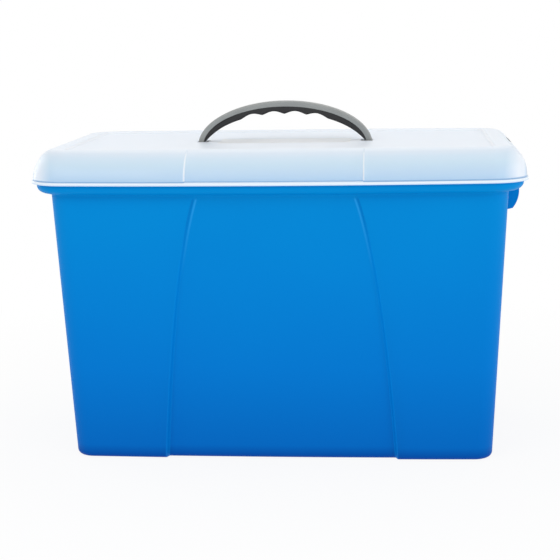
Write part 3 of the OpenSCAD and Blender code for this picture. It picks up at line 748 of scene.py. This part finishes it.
class Nodes:
    """A new material, with a short way to add and link its nodes. Colours are 0 to 255 sRGB."""

    # the colour sockets of a Mix node, which share their names with its other sockets
    SHARE, UNDER, OVER, MIXED = 0, 6, 7, 2

    def __init__(self, name):
        self.material = bpy.data.materials.new(name)
        self.material.use_nodes = True
        self.tree = self.material.node_tree
        self.shader = self.tree.nodes["Principled BSDF"]
        self.coordinates = self.add("ShaderNodeTexCoord")

    def add(self, kind, **settings):
        node = self.tree.nodes.new(kind)
        for key, value in settings.items():
            if key in node.inputs:
                node.inputs[key].default_value = value
            else:
                setattr(node, key, value)
        return node

    def link(self, a, b):
        self.tree.links.new(a, b)

    def axes(self, source="Object"):
        """X, Y and Z of a point on the object, or with Normal, of the way that its surface faces."""
        node = self.add("ShaderNodeSeparateXYZ")
        self.link(self.coordinates.outputs[source], node.inputs["Vector"])
        return [node.outputs[name] for name in "XYZ"]

    def noise(self, scale, detail, roughness=0.5):
        node = self.add("ShaderNodeTexNoise", Scale=scale, Detail=detail, Roughness=roughness)
        self.link(self.coordinates.outputs["Object"], node.inputs["Vector"])
        return node.outputs["Fac"]

    def ramp(self, value, stops):
        """A colour by value, from (value, colour) stops."""
        node = self.add("ShaderNodeValToRGB")
        self.link(value, node.inputs["Fac"])
        elements = node.color_ramp.elements
        while len(elements) < len(stops):
            elements.new(0.5)
        for element, (at, colour) in zip(elements, stops):
            element.position = at
            element.color = srgb(*colour)
        return node.outputs["Color"]

    def span(self, value, low, high, to_low=0.0, to_high=1.0):
        """to_low where the value is low, to_high where it is high, and held past both."""
        ends = {"From Min": low, "From Max": high, "To Min": to_low, "To Max": to_high}
        node = self.add("ShaderNodeMapRange", **ends)
        self.link(value, node.inputs["Value"])
        return node.outputs["Result"]

    def maths(self, operation, *values):
        node = self.add("ShaderNodeMath", operation=operation)
        for socket, value in zip(node.inputs, values):
            if isinstance(value, (int, float)):
                socket.default_value = value
            else:
                self.link(value, socket)
        return node.outputs[0]

    def size(self, value):
        """The value without its sign."""
        return self.maths("ABSOLUTE", value)

    def times(self, first, *others):
        """All the values multiplied together."""
        for other in others:
            first = self.maths("MULTIPLY", first, other)
        return first

    def stripe(self, value, centre, half, soft):
        """1 within half of the centre and 0 past it, with soft edges."""
        away = self.size(self.maths("SUBTRACT", value, centre))
        return self.span(away, half + soft, half)

    def paint(self, under, colour, where, strength=1.0):
        """A colour, given or from a socket, laid over another where a mask is 1."""
        node = self.add("ShaderNodeMix", data_type="RGBA")
        self.link(under, node.inputs[self.UNDER])
        if isinstance(colour, tuple):
            node.inputs[self.OVER].default_value = srgb(*colour)
        else:
            self.link(colour, node.inputs[self.OVER])
        mask = self.times(where, strength) if strength < 1 else where
        self.link(mask, node.inputs[self.SHARE])
        return node.outputs[self.MIXED]

    def set(self, **values):
        for key, value in values.items():
            self.shader.inputs[key.replace("_", " ")].default_value = value

    def finish(self, colour, grain, rough, strength, distance):
        """Sets the colour, and a roughness and a bump that follow a fine grain."""
        self.link(colour, self.shader.inputs["Base Color"])
        self.link(self.span(grain, *NOISE_MIDDLE, *rough), self.shader.inputs["Roughness"])
        bump = self.add("ShaderNodeBump", Strength=strength, Distance=distance)
        self.link(grain, bump.inputs["Height"])
        self.link(bump.outputs["Normal"], self.shader.inputs["Normal"])
        return self.material


# (share of the wall's height, colour), with painted shade that darkens the blue towards the foot
BLUE_AND_SHADE_BY_HEIGHT = ((0.0, (0, 60, 150)), (0.05, (0, 102, 190)), (0.35, (0, 119, 206)),
                  (0.7, (0, 130, 211)), (1.0, (0, 138, 212)))
BLUE_CLOUD = (0, 108, 198)
# painted highlight inside the panel's edge
HIGHLIGHT_BLUE = (52, 168, 240)
# painted shade outside the panel's edge
SHADE_BLUE = (0, 92, 172)
# painted light on the slope of the panel's edge
SLOPE_LIGHT_BLUE = (0, 140, 225)
LONG_WALL_Y = (0.090, 0.094)   # how far from the middle a point is on a long wall
# (middle, half width, softness) of the painted highlight, the painted shade and the slope's painted light
# along the panel's edge, in metres outside it
HIGHLIGHT_LINE = (-0.0020, 0.0004, 0.0009)
SHADE_LINE = (0.0008, 0.0005, 0.0009)
SLOPE_LINE = (0.0, 0.0012, 0.0010)
# the heights between which each line comes in
UNDER_RIM_Z = (0.2565, 0.2545)
HIGHLIGHT_LINE_Z = (0.185, 0.250)
SHADE_LINE_Z = (0.205, 0.250)
SLOPE_LINE_Z = (0.235, 0.195)


def past_panel_edge(n, x, z):
    """How far a point lies outside the centre panel's edge, in metres, by the rule of panel_w."""
    k, pull = EDGE_PULL
    down = n.span(z, WALL_TOP * MM, 0.0)
    root = n.maths("SQRT", n.maths("MULTIPLY_ADD", down, 1 - 2 * k, k * k))
    s = n.times(n.maths("SUBTRACT", root, k), 1 / (1 - 2 * k))
    # 2 * s * (1 - s) * pull + s * s, as s * (2 * pull + s * (1 - 2 * pull))
    share = n.times(s, n.maths("MULTIPLY_ADD", s, 1 - 2 * pull, 2 * pull))
    width = n.maths("MULTIPLY_ADD", share, (PANEL_BASE_W - PANEL_TOP_W) * MM, PANEL_TOP_W * MM)
    return n.maths("SUBTRACT", n.size(x), width)


def blue_plastic():
    """Moulded blue, darker towards the foot with painted shade, with a painted highlight and a painted shade
    along the panel's edges, and painted light on their slopes.
    """
    n = Nodes("blue_plastic")
    x, y, z = n.axes()
    # painted shade: the blue darkens towards the foot
    tone = n.ramp(n.span(z, 0.0, WALL_TOP * MM), BLUE_AND_SHADE_BY_HEIGHT)
    tone = n.paint(tone, BLUE_CLOUD, n.span(n.noise(9.0, 2.0), *NOISE_MIDDLE), 0.10)
    # a painted highlight inside the panel's edge and a painted shade outside it, which fade downwards
    past = past_panel_edge(n, x, z)
    long_wall = n.span(n.size(y), *LONG_WALL_Y)
    below_rim = n.times(long_wall, n.span(z, *UNDER_RIM_Z))
    pale = n.times(n.stripe(past, *HIGHLIGHT_LINE), n.span(z, *HIGHLIGHT_LINE_Z), below_rim)
    tone = n.paint(tone, HIGHLIGHT_BLUE, pale, 0.5)
    dark = n.times(n.stripe(past, *SHADE_LINE), n.span(z, *SHADE_LINE_Z), below_rim)
    tone = n.paint(tone, SHADE_BLUE, dark, 0.35)
    # the slope turns from the light further down, so painted light keeps it nearly as pale as the wall beside
    # it
    slope = n.times(n.stripe(past, *SLOPE_LINE), n.span(z, *SLOPE_LINE_Z), long_wall)
    tone = n.paint(tone, SLOPE_LIGHT_BLUE, slope, 0.35)
    n.set(IOR=1.3, Specular_IOR_Level=0.07)
    return n.finish(tone, n.noise(2600.0, 2.0), rough=(0.34, 0.44), strength=0.06, distance=0.0002)


LIP_SHARE = LIP_T / LID_H
# (share of the height from the rim to the lid's top, colour)
LID_BY_HEIGHT = (
    (0.0, (186, 218, 248)), (LIP_SHARE * 0.55, (232, 240, 250)), (LIP_SHARE - 0.005, (228, 238, 250)),
    (LIP_SHARE + 0.008, (112, 158, 204)), (LIP_SHARE + 0.055, (178, 208, 236)), (0.3, (186, 212, 236)),
    (0.6, (198, 220, 236)), (0.85, (208, 224, 238)), (0.97, (212, 225, 238)), (1.0, (222, 229, 238)))
# how much of a face looks up, at the first and the last of the colours that follow
LEVEL_TURN = (0.55, 1.0)
# painted light: the more a face looks up, the paler it is painted
LID_LIGHT_BY_LEVEL = ((0.0, (210, 224, 238)), (0.35, (208, 221, 234)), (0.75, (219, 230, 242)),
                (0.92, (231, 240, 250)), (1.0, (236, 244, 255)))
LID_CLOUD = (205, 220, 236)
PANEL_SIDE = (238, 243, 250)
# painted light in the finger trough
SUNK_PAINTED_LIGHT = (247, 251, 255)
# painted highlight on the face's steps
STEP_HIGHLIGHT = (244, 248, 252)
# painted highlight on the lid's rounded corners
CORNER_HIGHLIGHT = (240, 244, 252)
# painted shade on the lid's ends
END_SHADE = (196, 205, 218)
# painted shade in the gap beside each latch
CHEEK_SHADE = (110, 112, 118)
# what follows in pairs runs from where a mask is 0 to where it is 1
TOP_LEVEL = (0.80, 0.93)       # by how much of a face looks up
PANEL_SIDE_LEVEL = (0.97, 0.85)
CORNER_TURN = (0.35, 0.72)     # by how much of a face looks along X
CORNER_END = (0.96, 0.88)
END_TURN = (0.93, 0.99)
ABOVE_LIP = (1.0, 2.0)         # millimetres over the lip's top
BELOW_TOP = (2.5, 4.0)         # millimetres under the lid's top
BELOW_PANEL = (0.1, 0.5)       # millimetres under the top panel
# metres from the middle, or up
PANEL_IN_X = (0.2045, 0.2030)
PANEL_IN_Y = (0.1150, 0.1135)
PANEL_IN_Z = (0.285, 0.290)
CHEEK_Z = (0.284, 0.287)
# (half width, softness) of the face's painted highlight lines on its steps and of the cheeks' painted shade,
# in metres
STEP_WIDTH = (0.0003, 0.0007)
CHEEK_LENGTH = (0.0038, 0.0006)
CHEEK_SKIN = (0.00025, 0.00005)
CHEEK_MIDDLE = 3.5             # millimetres from the pocket's back wall to the middle of the shade
CHEEK_FACE_IN = 0.2            # millimetres from the cheek's face to the middle of the shade


def lid_base_tint(n, z, level):
    """Bluish faces, the tub painted as showing through, that pale upwards over a nearly white lip, and a
    level top that is painted paler as painted light.
    """
    side = n.ramp(n.span(z, RIM_TOP * MM, LID_TOP * MM), LID_BY_HEIGHT)
    tone = n.paint(side, LID_CLOUD, n.span(n.noise(14.0, 3.0), 0.35, 0.65), 0.10)
    # painted light: faces that look up are painted paler
    top = n.ramp(n.span(level, *LEVEL_TURN), LID_LIGHT_BY_LEVEL)
    return n.paint(tone, top, n.span(level, *TOP_LEVEL))


def lid_panel_tint(n, tone, far_x, far_y, z, level):
    """The sunk panel's sides, which stay as pale as the panel, and the finger trough, painted paler still:
    painted light over the shade that falls in it.
    """
    within = n.times(n.span(far_x, *PANEL_IN_X), n.span(far_y, *PANEL_IN_Y), n.span(z, *PANEL_IN_Z))
    tone = n.paint(tone, PANEL_SIDE, n.times(within, n.span(level, *PANEL_SIDE_LEVEL)))
    # painted light: the trough, under the panel, is painted paler to lift the shade in it
    sunk = n.span(z, *[(PANEL_Z - down) * MM for down in BELOW_PANEL])
    return n.paint(tone, SUNK_PAINTED_LIGHT, n.times(within, sunk))


def lid_face_tint(n, tone, far_x, z, turn):
    """Painted highlights as thin bright lines on the face's steps and as paler corners, and painted shade on
    greyer ends, all above the lip.
    """
    above = n.span(z, *[(RIM_TOP + LIP_T + up) * MM for up in ABOVE_LIP])
    below = n.span(z, *[(LID_TOP - down) * MM for down in BELOW_TOP])
    # painted highlight along the face's steps
    line = n.times(n.stripe(far_x, FACE_W * MM, *STEP_WIDTH), above, below)
    tone = n.paint(tone, STEP_HIGHLIGHT, line, 0.42)
    # painted highlight on the rounded corners
    corner = n.times(n.span(turn, *CORNER_TURN), n.span(turn, *CORNER_END), above)
    tone = n.paint(tone, CORNER_HIGHLIGHT, corner, 0.75)
    # painted shade on the ends, whose faces look along X
    return n.paint(tone, END_SHADE, n.times(n.span(turn, *END_TURN), above))


def lid_cheek_tint(n, tone, far_x, far_y, z):
    """A painted shade on the cheeks of each latch's pocket, deep in the gap beside the latch."""
    along = n.stripe(far_x, (POCKET_BACK + CHEEK_MIDDLE) * MM, *CHEEK_LENGTH)
    across = n.stripe(far_y, (POCKET_Y - CHEEK_FACE_IN) * MM, *CHEEK_SKIN)
    return n.paint(tone, CHEEK_SHADE, n.times(along, across, n.span(z, *CHEEK_Z)))


def frosted_plastic():
    """Milky plastic. What would show through it is painted by place, and painted light and shade by place and
    by the way a face turns.
    """
    n = Nodes("frosted_plastic")
    x, y, z = n.axes()
    facing_x, _, level = n.axes("Normal")
    far_x, far_y = n.size(x), n.size(y)
    tone = lid_base_tint(n, z, level)
    tone = lid_panel_tint(n, tone, far_x, far_y, z, level)
    tone = lid_face_tint(n, tone, far_x, z, n.size(facing_x))
    tone = lid_cheek_tint(n, tone, far_x, far_y, z)
    n.set(IOR=1.4, Specular_IOR_Level=0.35, Subsurface_Weight=0.2, Subsurface_Scale=0.004,
          Subsurface_Radius=(0.8, 0.9, 1.0))
    return n.finish(tone, n.noise(1800.0, 3.0), rough=(0.30, 0.40), strength=0.08, distance=0.0002)


GREYS = ((0.0, (140, 143, 142)), (1.0, (152, 155, 153)))
BLACKS = ((0.0, (27, 27, 28)), (1.0, (36, 36, 37)))
STEELS = ((0.3, (168, 170, 173)), (0.7, (204, 206, 208)))


def grey_plastic():
    n = Nodes("grey_plastic")
    base = n.ramp(n.span(n.noise(40.0, 3.0), *NOISE_MIDDLE), GREYS)
    return n.finish(base, n.noise(3200.0, 2.0), rough=(0.42, 0.55), strength=0.16, distance=0.0002)


def black_rubber():
    n = Nodes("black_rubber")
    base = n.ramp(n.span(n.noise(60.0, 3.0), *NOISE_MIDDLE), BLACKS)
    return n.finish(base, n.noise(2400.0, 2.0), rough=(0.60, 0.75), strength=0.25, distance=0.0003)


def bright_steel():
    n = Nodes("bright_steel")
    grain = n.noise(900.0, 4.0, 0.6)
    n.set(Metallic=1.0)
    return n.finish(n.ramp(grain, STEELS), grain, rough=(0.22, 0.36), strength=0.05, distance=0.0001)


# ---- Studio -----------------------------------------------------------------

CAMERA_AT = (115.59, -1434.58, 418.52)
CAMERA_RIGHT = (0.99645, 0.08257, -0.01616)
CAMERA_UP = (0.00106, 0.17973, 0.98371)
FOCAL_PX = 1439.2
FRAME_PX = 560
SENSOR = 36.0
FAR_CLIP = 20

FLOOR_REACH = 6.0
FLOOR_COLOUR = (0.9, 0.9, 0.9, 1)     # linear
FLOOR_ROUGHNESS = 0.9
# (distance from the middle, share of the floor's look that is its glow)
GLOW_NEAR = (0.30, 0.90)
GLOW_FAR = (0.75, 1.0)
SOFT_LIGHT = 0.62
PLAIN_WHITE = 1.0

# name, place, what it points at, size and power
LAMPS = (("key", (-1.0, -1.5, 1.5), (0, 0, 0.18), (1.2, 1.0), 10),
         ("fill", (1.5, -1.5, 0.9), (0, 0, 0.16), (1.2, 1.0), 8),
         ("top", (0.0, 0.2, 2.0), (0, 0, 0.3), (1.6, 1.2), 5),
         ("left_edge", (-1.6, 1.2, 0.6), (-0.2, 0, 0.25), (0.5, 1.2), 4),
         ("right_edge", (1.9, 0.1, 0.6), (0.2, 0, 0.25), (0.5, 1.2), 4))


def build_camera():
    data = bpy.data.cameras.new("camera")
    data.sensor_width = SENSOR
    data.lens = FOCAL_PX / FRAME_PX * SENSOR
    data.clip_end = FAR_CLIP
    camera = bpy.data.objects.new("camera", data)
    bpy.context.scene.collection.objects.link(camera)
    right = Vector(CAMERA_RIGHT).normalized()
    back = right.cross(Vector(CAMERA_UP)).normalized()
    up = back.cross(right)
    axes = Matrix((right, up, back)).transposed().to_4x4()
    camera.matrix_world = Matrix.Translation(Vector(CAMERA_AT) * MM) @ axes
    bpy.context.scene.camera = camera


def area_light(name, place, aim, size, power):
    data = bpy.data.lights.new(name, "AREA")
    data.shape = "RECTANGLE"
    data.size, data.size_y = size
    data.energy = power
    light = bpy.data.objects.new(name, data)
    bpy.context.scene.collection.objects.link(light)
    light.location = place
    light.rotation_euler = (Vector(aim) - Vector(place)).to_track_quat("-Z", "Y").to_euler()


def pale_floor():
    """A matt white that mostly glows, and is shaded a little near the box. It glows for all rays."""
    n = Nodes("pale_floor")
    n.set(Base_Color=FLOOR_COLOUR, Roughness=FLOOR_ROUGHNESS)
    away = n.add("ShaderNodeVectorMath", operation="LENGTH")
    n.link(n.coordinates.outputs["Object"], away.inputs[0])
    glow = n.add("ShaderNodeEmission", Strength=PLAIN_WHITE)
    near, near_share = GLOW_NEAR
    far, far_share = GLOW_FAR
    mixer = n.add("ShaderNodeMixShader")
    n.link(n.span(away.outputs["Value"], near, far, near_share, far_share), mixer.inputs["Fac"])
    n.link(n.shader.outputs[0], mixer.inputs[1])
    n.link(glow.outputs[0], mixer.inputs[2])
    n.link(mixer.outputs[0], n.tree.nodes["Material Output"].inputs["Surface"])
    return n.material


def build_floor():
    mesh = bpy.data.meshes.new("floor")
    corners = [(x * FLOOR_REACH, y * FLOOR_REACH, 0) for x, y in ((-1, -1), (1, -1), (1, 1), (-1, 1))]
    mesh.from_pydata(corners, [], [[0, 1, 2, 3]])
    mesh.materials.append(pale_floor())
    floor = bpy.data.objects.new("floor", mesh)
    bpy.context.scene.collection.objects.link(floor)


def build_world():
    """Soft white light all round, and plain white for camera, glossy and transmission rays."""
    world = bpy.data.worlds.new("studio")
    bpy.context.scene.world = world
    world.use_nodes = True
    tree = world.node_tree
    tree.nodes.clear()
    path = tree.nodes.new("ShaderNodeLightPath")
    seen = path.outputs["Is Camera Ray"]
    for ray in ("Is Glossy Ray", "Is Transmission Ray"):
        either = tree.nodes.new("ShaderNodeMath")
        either.operation = "MAXIMUM"
        tree.links.new(seen, either.inputs[0])
        tree.links.new(path.outputs[ray], either.inputs[1])
        seen = either.outputs[0]
    mixer = tree.nodes.new("ShaderNodeMixShader")
    tree.links.new(seen, mixer.inputs["Fac"])
    for place, strength in ((1, SOFT_LIGHT), (2, PLAIN_WHITE)):
        light = tree.nodes.new("ShaderNodeBackground")
        light.inputs["Color"].default_value = (1, 1, 1, 1)
        light.inputs["Strength"].default_value = strength
        tree.links.new(light.outputs[0], mixer.inputs[place])
    out = tree.nodes.new("ShaderNodeOutputWorld")
    tree.links.new(mixer.outputs[0], out.inputs["Surface"])


# ---- Build ------------------------------------------------------------------

build_camera()
blue = blue_plastic()
frosted = frosted_plastic()
steel = bright_steel()
build_tub(blue)
build_lid(frosted)
build_handle(grey_plastic())
build_grip(black_rubber())
for side in ("left", "right"):
    rounded_copy(f"{side}_latch", f"{side}_latch", frosted, width=0.7)
    rounded_copy(f"{side}_latch_pin", "lid", steel, width=0.2, segments=2)
    rounded_copy(f"{side}_handle_pin", "lid", steel, width=0.3, segments=2)
    rounded_copy(f"{side}_file_rail", "tub", blue, width=0.4)
build_floor()
build_world()
for lamp in LAMPS:
    area_light(*lamp)

bpy.context.scene.view_settings.view_transform = "Standard"
